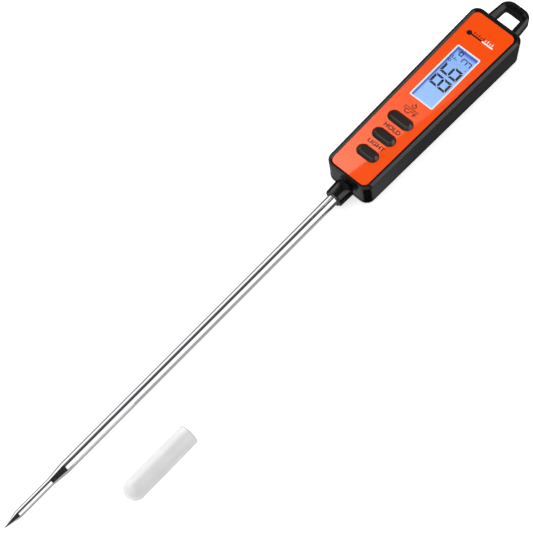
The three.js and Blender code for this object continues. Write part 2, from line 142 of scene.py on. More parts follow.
# outlines at their heights, no two alike, bridged one to the next and closed at both ends
def stackOutlines(name, levels, steps=10):
    piece = blankMesh(name)
    for outline, z in levels:
        drawRing(outline, z, steps)
    heights = [z for _, z in levels]
    for one, other in zip(heights, heights[1:]):
        pick("EDGE", lambda e: atHeight(e, one) or atHeight(e, other))
        bpy.ops.mesh.bridge_edge_loops()
    for end in (heights[0], heights[-1]):
        pick("EDGE", lambda e: atHeight(e, end))
        bpy.ops.mesh.edge_face_add()
    faceOutward()
    setMode("OBJECT")
    return piece


def prism(name, outline, z0, z1, steps=10):
    return stackOutlines(name, [(outline, z0), (outline, z1)], steps)


# rounds the edges that lie level at height z
def roundLevel(piece, z, width, segments=3):
    takeOnly(piece)
    setMode("EDIT")
    pick("EDGE", lambda e: atHeight(e, z))
    bpy.ops.mesh.bevel(offset=width, segments=segments, affect="EDGES")
    setMode("OBJECT")


# a profile of (along, radius) points spun round an axis through centre
def turned(name, profile, axis="x", centre=(0, 0, 0), sides=96):
    along, out = Vector((1, 0, 0)), Vector((0, 0, 1))
    if axis == "z":
        along, out = out, along
    points = [Vector(centre) + along * a + out * r for a, r in profile]
    piece = blankMesh(name)
    bpy.ops.mesh.primitive_plane_add(size=1, location=points[0])
    bpy.ops.mesh.merge(type="CENTER")
    for here, there in zip(points, points[1:]):
        bpy.ops.mesh.extrude_vertices_move(TRANSFORM_OT_translate={"value": there - here})
    bpy.ops.mesh.select_all(action="SELECT")
    bpy.ops.mesh.spin(steps=sides, angle=2 * math.pi, center=centre, axis=along)
    bpy.ops.mesh.select_all(action="SELECT")
    bpy.ops.mesh.remove_doubles(threshold=0.0008)
    faceOutward()
    setMode("OBJECT")
    return piece


def arc(x, r, radius, start, stop, steps):
    angles = [math.radians(start + (stop - start) * k / steps) for k in range(steps + 1)]
    return [(x + radius * math.cos(a), r + radius * math.sin(a)) for a in angles]


def block(name, low, high):
    takeNothing()
    low, high = Vector(low), Vector(high)
    bpy.ops.mesh.primitive_cube_add(size=1, location=(low + high) / 2, scale=high - low)
    settle()
    piece = bpy.context.object
    piece.name = name
    return piece


def rod(name, x, y, r, z0, z1, sides=48):
    return turned(name, [(z0, 0), (z0, r), (z1, r), (z1, 0)], "z", (x, y, 0), sides)


def rodAlongX(name, x0, x1, r, z, sides=64):
    return turned(name, [(x0, 0), (x0, r), (x1, r), (x1, 0)], "x", (0, 0, z), sides)


def applyModifier(piece, kind, **settings):
    takeOnly(piece)
    modifier = piece.modifiers.new("step", kind)
    for key, value in settings.items():
        setattr(modifier, key, value)
    bpy.ops.object.modifier_apply(modifier="step")


def combine(piece, others, operation):
    for other in others:
        applyModifier(piece, "BOOLEAN", operation=operation, object=other, solver="EXACT")
        bpy.data.objects.remove(other)
    return piece


def carve(piece, *cutters):
    return combine(piece, cutters, "DIFFERENCE")


def weld(piece, *additions):
    return combine(piece, additions, "UNION")


# rounds the sharp edges
def soften(piece, width, segments=2, angle=30):
    applyModifier(piece, "BEVEL", width=width, segments=segments, limit_method="ANGLE",
                  angle_limit=math.radians(angle), use_clamp_overlap=True)


def placeOnBody(piece, body, look, replaces=(), smooth=32, even=True):
    takeOnly(piece)
    bpy.ops.object.shade_smooth_by_angle(angle=math.radians(smooth))
    if even:
        applyModifier(piece, "WEIGHTED_NORMAL", mode="FACE_AREA", keep_sharp=True)
    takeOnly(piece)
    piece.scale = (mm, mm, mm)
    bpy.ops.object.transform_apply(location=False, rotation=False, scale=True)
    piece.data.materials.clear()
    piece.data.materials.append(look)
    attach(piece, body)
    if replaces:
        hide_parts(*replaces)
    print("made", piece.name, len(piece.data.polygons), "faces")
    return piece


# material helpers
def addNode(tree, kind, values=None, **settings):
    made = tree.nodes.new(kind)
    for key, value in settings.items():
        setattr(made, key, value)
    for key, value in (values or {}).items():
        made.inputs[key].default_value = value
    return made


def addMath(tree, operation, first, second):
    made = addNode(tree, "ShaderNodeMath", operation=operation)
    for socket, value in zip(made.inputs, (first, second)):
        if isinstance(value, (int, float)):
            socket.default_value = value
        else:
            tree.links.new(value, socket)
    return made.outputs[0]


def times(tree, first, second):
    return addMath(tree, "MULTIPLY", first, second)


def addNoise(tree, vector, scale, detail=3.0):
    made = addNode(tree, "ShaderNodeTexNoise", {"Scale": scale, "Detail": detail})
    tree.links.new(vector, made.inputs["Vector"])
    return made.outputs["Fac"]


def addRange(tree, value, fromLow, fromHigh, toLow=0.0, toHigh=1.0, smooth=False):
    made = addNode(tree, "ShaderNodeMapRange", {"From Min": fromLow, "From Max": fromHigh,
                                                "To Min": toLow, "To Max": toHigh})
    made.interpolation_type = "SMOOTHSTEP" if smooth else "LINEAR"
    tree.links.new(value, made.inputs["Value"])
    return made.outputs["Result"]


def addMix(tree, fac, first, second):
    made = addNode(tree, "ShaderNodeMix", data_type="RGBA")
    for socket, value in ((made.inputs[0], fac), (made.inputs[6], first), (made.inputs[7], second)):
        if isinstance(value, bpy.types.NodeSocket):
            tree.links.new(value, socket)
        else:
            socket.default_value = value if isinstance(value, float) else (*value, 1)
    return made.outputs[2]


def newLook(name):
    look = bpy.data.materials.new(name)
    look.use_nodes = True
    return look, look.node_tree


# a place, and its x, y and z apart
def readPlace(tree, source="Object"):
    place = tree.nodes.new("ShaderNodeTexCoord").outputs[source]
    split = tree.nodes.new("ShaderNodeSeparateXYZ")
    tree.links.new(place, split.inputs[0])
    return place, split.outputs


def newGroup(name, inputs, outputs):
    tree = bpy.data.node_groups.new(name, "ShaderNodeTree")
    for label, value in inputs.items():
        made = tree.interface.new_socket(name=label, in_out="INPUT", socket_type="NodeSocketFloat")
        made.default_value = value
    for label in outputs:
        tree.interface.new_socket(name=label, in_out="OUTPUT", socket_type="NodeSocketFloat")
    return tree, tree.nodes.new("NodeGroupInput"), tree.nodes.new("NodeGroupOutput")


# fine moulded or brushed texture: a height for bump, and a roughness that wanders a little
def buildGrain():
    tree, given, result = newGroup("surfaceGrain", {
        "Scale": 4000.0, "Stretch": 1.0, "Roughness": 0.3, "Wander": 0.06}, ("Height", "Roughness"))
    place = tree.nodes.new("ShaderNodeTexCoord").outputs["Object"]
    stretch = addNode(tree, "ShaderNodeCombineXYZ", {"Y": 1.0, "Z": 1.0})
    tree.links.new(given.outputs["Stretch"], stretch.inputs["X"])
    scaled = addNode(tree, "ShaderNodeVectorMath", operation="MULTIPLY")
    tree.links.new(place, scaled.inputs[0])
    tree.links.new(stretch.outputs[0], scaled.inputs[1])
    fine = addNode(tree, "ShaderNodeTexNoise", {"Detail": 4.0})
    tree.links.new(scaled.outputs[0], fine.inputs["Vector"])
    tree.links.new(given.outputs["Scale"], fine.inputs["Scale"])
    broad = addNoise(tree, place, 160.0, 2.0)
    both = addMath(tree, "ADD", times(tree, fine.outputs["Fac"], 0.5), times(tree, broad, 0.5))
    shift = times(tree, addMath(tree, "SUBTRACT", both, 0.5), given.outputs["Wander"])
    tree.links.new(fine.outputs["Fac"], result.inputs["Height"])
    tree.links.new(addMath(tree, "ADD", given.outputs["Roughness"], shift), result.inputs["Roughness"])
    return tree


# a mask of the edges that hands polish, broken up by noise
def buildEdgeWear():
    tree, given, result = newGroup("edgeWear", {"Start": 0.52, "Amount": 1.0}, ("Mask",))
    place = tree.nodes.new("ShaderNodeTexCoord").outputs["Object"]
    pointed = tree.nodes.new("ShaderNodeNewGeometry").outputs["Pointiness"]
    above = addMath(tree, "SUBTRACT", pointed, given.outputs["Start"])
    broken = addRange(tree, addNoise(tree, place, 900.0), 0.35, 0.65)
    mask = times(tree, addRange(tree, above, 0.0, 0.08), broken)
    tree.links.new(times(tree, mask, given.outputs["Amount"]), result.inputs["Mask"])
    return tree


# a mask of sparse fine specks, gathered in patches
def buildDust():
    tree, given, result = newGroup("dustSpecks", {"Scale": 1500.0, "Amount": 0.3}, ("Mask",))
    place = tree.nodes.new("ShaderNodeTexCoord").outputs["Object"]
    specks = addNode(tree, "ShaderNodeTexNoise", {"Detail": 2.0})
    tree.links.new(place, specks.inputs["Vector"])
    tree.links.new(given.outputs["Scale"], specks.inputs["Scale"])
    patches = addRange(tree, addNoise(tree, place, 70.0, 2.0), 0.4, 0.7)
    mask = times(tree, addRange(tree, specks.outputs["Fac"], 0.68, 0.78), patches)
    tree.links.new(times(tree, mask, given.outputs["Amount"]), result.inputs["Mask"])
    return tree


surfaceGrain, edgeWear, dustSpecks = buildGrain(), buildEdgeWear(), buildDust()


def useGroup(tree, group, values=None):
    made = addNode(tree, "ShaderNodeGroup")
    made.node_tree = group
    for key, value in (values or {}).items():
        made.inputs[key].default_value = value
    return made.outputs


# one finish: two tones that drift into each other, with grain, worn edges and dust laid over;
# grain is its scale, the roughness, how far that wanders and, on brushed steel, the stretch
def mouldedLook(name, colour, second, grain, metallic=0.0, bump=0.1, drift=60.0, wear=0.0,
                wornColour=(0.1, 0.1, 0.1), dust=0.0, dustColour=(0.5, 0.48, 0.45), sockets=None):
    look, tree = newLook(name)
    shader = tree.nodes["Principled BSDF"]
    place = tree.nodes.new("ShaderNodeTexCoord").outputs["Object"]
    tone = addMix(tree, addRange(tree, addNoise(tree, place, drift), 0.35, 0.65), colour, second)
    if wear:
        tone = addMix(tree, useGroup(tree, edgeWear, {"Amount": wear})["Mask"], tone, wornColour)
    if dust:
        tone = addMix(tree, useGroup(tree, dustSpecks, {"Amount": dust})["Mask"], tone, dustColour)
    tree.links.new(tone, shader.inputs["Base Color"])
    texture = useGroup(tree, surfaceGrain, dict(zip(("Scale", "Roughness", "Wander", "Stretch"), grain)))
    tree.links.new(texture["Roughness"], shader.inputs["Roughness"])
    relief = addNode(tree, "ShaderNodeBump", {"Strength": bump, "Distance": 0.00002})
    tree.links.new(texture["Height"], relief.inputs["Height"])
    tree.links.new(relief.outputs["Normal"], shader.inputs["Normal"])
    shader.inputs["Metallic"].default_value = metallic
    for key, value in (sockets or {}).items():
        shader.inputs[key].default_value = value
    return look


# a thin greyer line where the mouth's edge gathers less light
def greyMouth(look, line):
    tree = look.node_tree
    colour = tree.nodes["Principled BSDF"].inputs["Base Color"]
    x = readPlace(tree)[1][0]
    edge = addRange(tree, x, line["start"] * mm, line["end"] * mm, smooth=True)
    tree.links.new(addMix(tree, edge, colour.links[0].from_socket, line["tone"]), colour)


casingBlack = mouldedLook(
    "casingBlack", (0.0030, 0.0030, 0.0032), (0.0040, 0.0041, 0.0043), (2600.0, 0.22, 0.08), bump=0.07,
    wear=0.35, wornColour=(0.012, 0.012, 0.013), dust=0.05)
panelOrange = mouldedLook(
    "panelOrange", (0.99, 0.083, 0.006), (1.0, 0.089, 0.008), (900.0, 0.02, 0.01), bump=0.01, dust=0.04,
    dustColour=(0.9, 0.35, 0.2))
frameWhite = mouldedLook(
    "frameWhite", (0.90, 0.91, 0.92), (0.94, 0.94, 0.95), (2000.0, 0.28, 0.08), bump=0.08, dust=0.04)
buttonBlack = mouldedLook(
    "buttonBlack", (0.0050, 0.0050, 0.0056), (0.0065, 0.0066, 0.0072), (3200.0, 0.36, 0.05), bump=0.12,
    wear=0.3, wornColour=(0.02, 0.02, 0.022), dust=0.04, sockets={"Specular IOR Level": 0.8})
probeSteel = mouldedLook(
    "probeSteel", (0.62, 0.62, 0.63), (0.66, 0.66, 0.67), (5200.0, 0.07, 0.05, 0.02), metallic=1.0,
    bump=0.05)
screwSteel = mouldedLook(
    "screwSteel", (0.40, 0.40, 0.41), (0.47, 0.47, 0.47), (4000.0, 0.32, 0.15), metallic=1.0, bump=0.15)
cellSteel = mouldedLook(
    "cellSteel", (0.55, 0.55, 0.56), (0.61, 0.61, 0.62), (3600.0, 0.24, 0.12), metallic=1.0, bump=0.1)
sealRubber = mouldedLook(
    "sealRubber", (0.012, 0.012, 0.012), (0.022, 0.021, 0.020), (3000.0, 0.75, 0.15), bump=0.4, dust=0.3)
boardGreen = mouldedLook(
    "boardGreen", (0.010, 0.090, 0.030), (0.014, 0.120, 0.040), (2400.0, 0.35, 0.1), bump=0.1, drift=400.0)
chipBlack = mouldedLook(
    "chipBlack", (0.010, 0.010, 0.011), (0.020, 0.020, 0.020), (5000.0, 0.55, 0.1), bump=0.3)
contactGold = mouldedLook(
    "contactGold", (0.85, 0.58, 0.22), (0.78, 0.52, 0.20), (3600.0, 0.22, 0.1), metallic=1.0)
wireRed = mouldedLook("wireRed", (0.55, 0.02, 0.015), (0.48, 0.018, 0.012), (3000.0, 0.4, 0.1), bump=0.1)
wireBlack = mouldedLook(
    "wireBlack", (0.010, 0.010, 0.010), (0.016, 0.016, 0.016), (3000.0, 0.4, 0.1), bump=0.1)
pottingGrey = mouldedLook("pottingGrey", (0.25, 0.25, 0.24), (0.34, 0.33, 0.32), (2600.0, 0.6, 0.2), bump=0.4)
guideClear = mouldedLook(
    "guideClear", (0.78, 0.88, 0.98), (0.85, 0.92, 1.0), (1500.0, 0.15, 0.05), bump=0.02,
    sockets={"Transmission Weight": 0.5})
capMilky = mouldedLook(
    "capMilky", (0.93, 0.93, 0.93), (0.97, 0.97, 0.97), (1400.0, 0.20, 0.05), bump=0.04, drift=140.0,
    sockets={"Transmission Weight": 0.25, "IOR": 1.5, "Specular IOR Level": 0.6})
windowClear = mouldedLook(
    "windowClear", (0.97, 0.985, 1.0), (0.99, 1.0, 1.0), (600.0, 0.02, 0.02), bump=0.005,
    sockets={"Transmission Weight": 1.0, "IOR": 1.2})
inkDark = mouldedLook(
    "inkDark", (0.030, 0.008, 0.004), (0.045, 0.012, 0.006), (6000.0, 0.35, 0.1), bump=0.2, drift=900.0)
inkBlack = mouldedLook(
    "inkBlack", (0.004, 0.003, 0.005), (0.007, 0.005, 0.008), (6000.0, 0.35, 0.1), bump=0.2, drift=900.0)
inkWhite = mouldedLook(
    "inkWhite", (0.92, 0.90, 0.88), (0.96, 0.95, 0.94), (6000.0, 0.4, 0.1), bump=0.2, drift=900.0)
segmentDark = mouldedLook(
    "segmentDark", (0.0012, 0.0012, 0.004), (0.002, 0.002, 0.007), (4000.0, 0.5, 0.1), drift=300.0)
segmentFaint = mouldedLook(
    "segmentFaint", (0.010, 0.045, 0.17), (0.014, 0.06, 0.20), (4000.0, 0.5, 0.1), drift=300.0)
greyMouth(capMilky, dict(start=-182.25, end=-181.95, tone=(0.30, 0.30, 0.30)))


# the lit liquid crystal: pale blue, deeper along the far edge and the loop end where the light falls off
def litDisplayLook():
    glow = dict(pale=(0.28, 0.51, 0.97), middle=(0.21, 0.42, 0.94), deep=(0.045, 0.11, 0.56), fade=(-2.0, 24.0),
                farEdge=(4.7, 5.5), loopEnd=(28.8, 31.0), mottle=(0.9, 0.97, 1.0), side=(0.02, 0.03, 0.04),
                top=(14.6, 14.65), strength=1.0)
    look, tree = newLook("lcdBlue")
    shader = tree.nodes["Principled BSDF"]
    place, (x, y, z) = readPlace(tree)

    def span(value, key, smooth=False):
        return addRange(tree, value, glow[key][0] * mm, glow[key][1] * mm, smooth=smooth)

    tone = addMix(tree, span(x, "fade"), glow["pale"], glow["middle"])
    tone = addMix(tree, times(tree, addNoise(tree, place, 500.0), 0.10), tone, glow["mottle"])
    shade = addMath(tree, "MAXIMUM", span(y, "farEdge", True), span(x, "loopEnd", True))
    tone = addMix(tree, shade, tone, glow["deep"])
    tone = addMix(tree, span(z, "top"), glow["side"], tone)
    tree.links.new(tone, shader.inputs["Emission Color"])
    shader.inputs["Emission Strength"].default_value = glow["strength"]
    shader.inputs["Base Color"].default_value = (0.01, 0.012, 0.02, 1)
    tree.links.new(useGroup(tree, surfaceGrain, {"Roughness": 0.3})["Roughness"], shader.inputs["Roughness"])
    return look


lcdBlue = litDisplayLook()

# the CAD nodes that stay inside keep their shapes and take a finish each, by node name
innerLooks = dict(
    case_gasket=sealRubber, lcd_holder=frameWhite, light_guide=guideClear, backlight_led=guideClear,
    zebra_strip=sealRubber, circuit_board=boardGreen, controller_chip=chipBlack, light_switch=chipBlack,
    hold_switch=chipBlack, power_switch=chipBlack, battery_cell=cellSteel, battery_contact_negative=contactGold,
    battery_contact_positive=contactGold, battery_cover_seal=sealRubber, collar_seal=sealRubber,
    probe_ferrule=cellSteel, thermistor_bead=chipBlack, tip_filler=pottingGrey, sensor_wire_a=wireRed,
    sensor_wire_b=wireBlack,
)
for nodeName, look in innerLooks.items():
    mesh = frame["nodes"][nodeName].data
    mesh.materials.clear()
    mesh.materials.append(look)
print("materials ready")


# the handle's main outlines
face = dict(z=17.0, pocket=16.1, crest=17.5, chamfer=15.75, parting=3.0)
caseEdge = dict(x0=-52.0, x1=53.4, h0=12.16, h1=13.92, r0=4.5, r1=4.2)
draftEdge = dict(caseEdge, x0=-50.5)
crestEdge = dict(x0=-51.85, x1=52.1, h0=10.82, h1=12.58, r0=3.6, r1=3.9)
panelEdge = dict(x0=-50.8, x1=50.6, h0=9.9, h1=11.47, r0=2.6, r1=2.9)
display = dict(x=14.5, y=-0.35, long=33.8, wide=13.1, corner=0.8, border=0.72)
keys = dict(
    light=dict(x=-37.25, long=5.8, wide=10.8),
    hold=dict(x=-26.35, long=5.8, wide=11.6),
    power=dict(x=-15.35, long=5.8, wide=12.7),
)
screwPlaces = [(-45.6, 7.3), (-45.6, -7.3), (46.4, 8.6), (46.4, -8.6)]
probeHeight = 5.7
batteryX = 27.0
collarHole = (-54, -44, 3.7, probeHeight, 48)
inkDepth = 0.04         # how thick the lines on the face are, half of it sunk


def keyOutline(key, by=0.0):
    return rectangle(key["x"], 0, key["long"] + 2 * by, key["wide"] + 2 * by, key["long"] / 2 + by - 0.02)


def makeFrontCase():
    shell = dict(wall=2.0, deck=14.9, chamferRound=0.3, crestRound=0.16, lowRound=0.15, boss=2.3, pilot=1.05,
                 clearance=0.2, loopSlot=((50.4, -6.2, 6.8), (54.4, 6.2, 10.6)))
    low = face["parting"]
    case = stackOutlines("frontCase", [
        (grown(draftEdge, -0.2), low), (caseEdge, face["chamfer"]), (crestEdge, face["crest"]),
        (grown(panelEdge, 0.12), face["z"] - 0.05), (grown(panelEdge, 0.12), face["pocket"]),
    ], steps=12)
    roundLevel(case, face["crest"], shell["crestRound"])
    roundLevel(case, face["chamfer"], shell["chamferRound"])
    roundLevel(case, low, shell["lowRound"], 2)
    cavity = stackOutlines("cavity", [
        (grown(draftEdge, -shell["wall"] - 0.2), low - 1), (grown(draftEdge, -shell["wall"] - 0.2), low),
        (grown(caseEdge, -shell["wall"]), shell["deck"]),
    ], steps=6)
    sealStep = prism("sealStep", grown(draftEdge, -1.3), low - 1, low + 0.9, 6)
    window = rectangle(display["x"], display["y"], display["long"] + 0.3, display["wide"] + 0.3, 0.9)
    keyholes = [prism("keyhole", keyOutline(key, shell["clearance"]), 14, 17, 10) for key in keys.values()]
    carve(case, cavity, sealStep, prism("windowHole", window, 14, 17, 5), *keyholes)
    weld(case, *[rod("boss", x, y, shell["boss"], low + 0.1, shell["deck"] + 0.3, 24)
                 for x, y in screwPlaces])
    carve(case, *[rod("pilot", x, y, shell["pilot"], low - 1, 10, 20) for x, y in screwPlaces])
    carve(case, rodAlongX("collarHole", *collarHole),
          block("loopSlot", *shell["loopSlot"]))
    placeOnBody(case, "handle", casingBlack, ["front_case"])


def makeBackCover():
    shell = dict(edge=1.9, edgeRise=1.9, steps=7, hollow=1.7, well=7.3, bore=6.15, mouth=8.5, groove=9.45)
    low = face["parting"]
    levels = []
    for k in range(shell["steps"] + 1):
        turn = math.radians(90 * k / shell["steps"])
        levels.append((grown(draftEdge, -0.2 - (shell["edge"] - 0.2) * (1 - math.sin(turn)) ** 1.4),
                       shell["edgeRise"] * (1 - math.cos(turn))))
    levels.append((grown(draftEdge, -0.2), low - 0.15))
    cover = stackOutlines("backCover", levels, steps=12)
    carve(cover, prism("hollow", grown(draftEdge, -3.4), shell["hollow"], low + 3, 6))
    lip = prism("lip", grown(draftEdge, -2.35), shell["hollow"], low + 1.4, 6)
    carve(lip, prism("lipInside", grown(draftEdge, -3.4), 1, low + 3, 6))
    carve(lip, *[rod("bossRoom", x, y, 2.5, low, low + 3, 24) for x, y in screwPlaces])
    weld(cover, lip, rod("batterySeat", batteryX, 0, 10.6, 1.2, 3.8, 64),
         rod("batteryWell", batteryX, 0, shell["well"], 3.0, 7.6, 64),
         *[rod("screwPad", x, y, 3.1, 1.2, low, 28) for x, y in screwPlaces])
    carve(cover, rod("bore", batteryX, 0, shell["bore"], -1, 9, 64),
          rod("mouth", batteryX, 0, shell["mouth"], -1, 2.65, 96),
          rod("tabGroove", batteryX, 0, shell["groove"], 1.3, 2.15, 96))
    for angle in (45, 165, 285):
        carve(cover, tabSector("tabEntry", angle, shell["groove"], -1, 1.4, 4.8))
    for x, y in screwPlaces:
        carve(cover, rod("screwHead", x, y, 2.1, -1, 1.85, 40), rod("screwHole", x, y, 1.15, -1, 4, 20))
    carve(cover, block("wireGap", (batteryX - 9, -1.2, 4.4), (batteryX - 5, 1.2, 9)),
          rodAlongX("collarHole", *collarHole),
          block("lockRoom", (-48.25, -4.85, 1.85), (-46.25, 4.85, 9.85)))
    soften(cover, 0.12, 2, 40)
    placeOnBody(cover, "handle", casingBlack, ["back_cover"])


# a bayonet tab, or the notch that lets it in, as a bar from the middle out to r
def tabSector(name, angle, r, z0, z1, width):
    tab = block(name, (0, -width / 2, z0), (r, width / 2, z1))
    tab.rotation_euler = (0, 0, math.radians(angle))
    tab.location = (batteryX, 0, 0)
    takeOnly(tab)
    settle()
    return tab


def makeHangLoop():
    loop = dict(x0=53.7, x1=68.4, h0=8.6, h1=7.3, corner=4.6, midZ=8.7, half=2.05, roof=0.8,
                outerSlope=1.3, innerSlope=2.15, round=0.22)
    eye = dict(x0=54.9, x1=64.3, h0=5.05, h1=4.6, corner=1.3)
    ridge = loop["half"] + loop["roof"]

    def outline(by):
        return dict(x0=loop["x0"], x1=loop["x1"] - by, h0=loop["h0"] - by, h1=loop["h1"] - by,
                    r0=0.5, r1=loop["corner"] - by)

    def hole(by):
        return dict(x0=eye["x0"] - by * 0.4, x1=eye["x1"] + by, h0=eye["h0"] + by, h1=eye["h1"] + by,
                    r0=eye["corner"] * 0.6, r1=eye["corner"] + by)

    def levels(shape, slope, reach):
        return [(shape(slope), loop["midZ"] - reach), (shape(0), loop["midZ"] - loop["half"]),
                (shape(0), loop["midZ"] + loop["half"]), (shape(slope), loop["midZ"] + reach)]

    bar = stackOutlines("hangLoop", levels(outline, loop["outerSlope"], ridge), steps=14)
    carve(bar, stackOutlines("eye", levels(hole, loop["innerSlope"] + 0.3, ridge + 0.1), steps=8))
    weld(bar, block("tongue", (50.8, -5.9, 7.1), (54.3, 5.9, 10.3)),
         block("stop", (49.4, -7.2, 7.1), (50.9, 7.2, 10.3)))
    soften(bar, loop["round"], 3, 22)
    placeOnBody(bar, "handle", casingBlack, ["hang_loop"])


def makeFacePanel():
    panel = prism("facePanel", panelEdge, face["pocket"] + 0.1, face["z"], 12)
    roundLevel(panel, face["z"], 0.12, 2)
    grow = 0.24
    window = rectangle(display["x"], display["y"], display["long"] + grow, display["wide"] + grow,
                       display["corner"] + grow / 2)
    carve(panel, prism("windowHole", window, 15, 18, 6),
          *[prism("keyhole", keyOutline(key, 0.2), 15, 18, 12) for key in keys.values()])
    placeOnBody(panel, "handle", panelOrange, ["face_panel"])


def makeWindow():
    outer = rectangle(display["x"], display["y"], display["long"], display["wide"], display["corner"])
    ring = prism("windowFrame", outer, face["z"] - 1.1, face["z"] + 0.08, 8)
    carve(ring, prism("opening", grown(outer, -display["border"]), 15, 18, 6))
    soften(ring, 0.1, 2, 40)
    placeOnBody(ring, "handle", frameWhite, ["window_frame"])
    top = face["z"] - 0.05
    lens = prism("displayWindow", grown(outer, -display["border"] - 0.1), face["z"] - 0.9, top, 6)
    roundLevel(lens, top, 0.06, 2)
    placeOnBody(lens, "handle", windowClear, ["display_window"])


def makeLcd():
    glass = dict(long=38, wide=15.4, z0=12.3, split=13.45, z1=14.7, y1=7.3)
    x, y = display["x"], display["y"]
    low = (x - glass["long"] / 2, y - glass["wide"] / 2)
    panel = block("lcdPanel", (*low, glass["z0"]),
                  (x + glass["long"] / 2, y + glass["wide"] / 2, glass["split"]))
    upper = block("upperPlate", (*low, glass["split"] - 0.02),
                  (x + glass["long"] / 2, glass["y1"] - 0.6, glass["z1"]))
    weld(panel, upper)
    soften(panel, 0.08, 2)
    placeOnBody(panel, "handle", lcdBlue, ["lcd_glass"])


# one bar of a digit; its outer side, toward outward, keeps the full length
def addSegment(centre, long, thick, outward, mitre, z):
    middle = Vector((*centre, z))
    flat = outward[1] != 0
    bpy.ops.mesh.primitive_cube_add(size=1, location=middle)
    size = (long, thick, 0.06) if flat else (thick, long, 0.06)
    bpy.ops.transform.resize(value=size, center_override=middle)
    pick("VERT", lambda v: (v.co - middle).dot(Vector((*outward, 0))) < 0, within=True)
    short = (long - 2 * mitre) / long
    bpy.ops.transform.resize(value=(short, 1, 1) if flat else (1, short, 1), center_override=middle)


def addDigit(lit, x, y, size, z):
    wide, tall, thick = size["wide"], size["tall"], size["thick"]
    gap = thick * 0.16
    middle = y + tall / 2
    half = tall / 2 - 2 * gap
    upright = thick * 0.8
    places = dict(
        a=((x + wide / 2, y + tall - thick / 2), wide - 2 * gap - thick * 0.5, (0, 1)),
        d=((x + wide / 2, y + thick / 2), wide - 2 * gap - thick * 0.5, (0, -1)),
        f=((x + thick / 2, middle + tall / 4), half, (-1, 0)),
        e=((x + thick / 2, middle - tall / 4), half, (-1, 0)),
        b=((x + wide - thick / 2, middle + tall / 4), half, (1, 0)),
        c=((x + wide - thick / 2, middle - tall / 4), half, (1, 0)),
    )
    for key in lit:
        if key == "g":
            for side in (-1, 1):
                addSegment((x + wide / 2, middle + side * thick / 4), wide - thick * 1.1, thick / 2,
                           (0, -side), thick * 0.45, z)
        else:
            centre, long, outward = places[key]
            addSegment(centre, long, thick, outward, upright, z)


def addBar(x0, x1, y0, y1, z, depth=0.06):
    middle = Vector(((x0 + x1) / 2, (y0 + y1) / 2, z))
    bpy.ops.mesh.primitive_cube_add(size=1, location=middle)
    bpy.ops.transform.resize(value=(x1 - x0, y1 - y0, depth), center_override=middle)


def addHoop(x, y, r, thick, z, start=0.0, sweep=360.0, depth=0.06, steps=32):
    centre, up = Vector((x, y, z)), Vector((0, 0, 1))
    out = Vector((math.cos(math.radians(start)), math.sin(math.radians(start)), 0))
    corners = [centre + out * (r + a * thick / 2) + up * (b * depth / 2)
               for a, b in ((-1, -1), (1, -1), (1, 1), (-1, 1), (-1, -1))]
    bpy.ops.mesh.select_mode(type="VERT")
    bpy.ops.mesh.primitive_plane_add(size=0.1, location=corners[0])
    bpy.ops.mesh.merge(type="CENTER")
    for here, there in zip(corners, corners[1:]):
        bpy.ops.mesh.extrude_vertices_move(TRANSFORM_OT_translate={"value": there - here})
    bpy.ops.mesh.select_linked()
    bpy.ops.mesh.spin(steps=steps, angle=math.radians(sweep), center=centre, axis=up)
    bpy.ops.mesh.select_linked()
    bpy.ops.mesh.remove_doubles(threshold=0.0005)
    if sweep < 360:
        bpy.ops.mesh.fill_holes(sides=4)


# turns the marks being drawn outward and lays them on the handle
def layMarks(piece, look):
    faceOutward()
    setMode("OBJECT")
    placeOnBody(piece, "handle", look, even=False)


def makeDisplayMarks():
    marks = dict(z=14.72, slant=0.045, baseline=-4.8, big=dict(wide=5.95, tall=9.55, thick=1.15), firstX=8.7,
                 pitch=7.45, small=dict(wide=2.9, tall=5.2, thick=0.52), smallX=25.4, smallDrop=0.05)
    z, base = marks["z"], marks["baseline"]
    digits = blankMesh("displayDigits")
    addDigit("abcdefg", marks["firstX"], base, marks["big"], z)
    addDigit("acdefg", marks["firstX"] + marks["pitch"], base, marks["big"], z)
    addDigit("abcdg", marks["smallX"], base - marks["smallDrop"], marks["small"], z)
    faceOutward()
    setMode("OBJECT")
    slant = marks["slant"]
    digits.data.transform(Matrix(((1, slant, 0, -slant * base), (0, 1, 0, 0), (0, 0, 1, 0), (0, 0, 0, 1))))
    placeOnBody(digits, "handle", segmentDark, even=False)

    def addBars(*bars):
        for bar in bars:
            addBar(*bar, z)

    battery = dict(x0=28.1, x1=30.55, y0=1.55, y1=3.45, line=0.46)
    x0, x1, y0, y1, line = battery.values()
    sign = blankMesh("batterySign")
    addBars((x0, x1, y0, y0 + line), (x0, x1, y1 - line, y1), (x0, x0 + line, y0 + line, y1 - line),
            (x1 - line, x1, y0 + line, y1 - line))
    layMarks(sign, segmentDark)
    degree = dict(x=23.75, y=4.65, r=0.58, line=0.34)
    point, dash = (23.4, 23.85, -4.75, -4.3), (28.9, 30.1, 3.7, 4.0)
    faint = blankMesh("degreeSign")
    addHoop(degree["x"], degree["y"], degree["r"], degree["line"], z)
    addBars(point, dash)
    layMarks(faint, segmentFaint)
    stem, topBar, middleBar = (25.25, 25.6, 1.9, 4.9), (25.6, 26.9, 4.6, 4.9), (25.6, 26.6, 3.25, 3.55)
    letter = blankMesh("fahrenheitSign")
    addBars(stem, topBar, middleBar)
    layMarks(letter, segmentFaint)


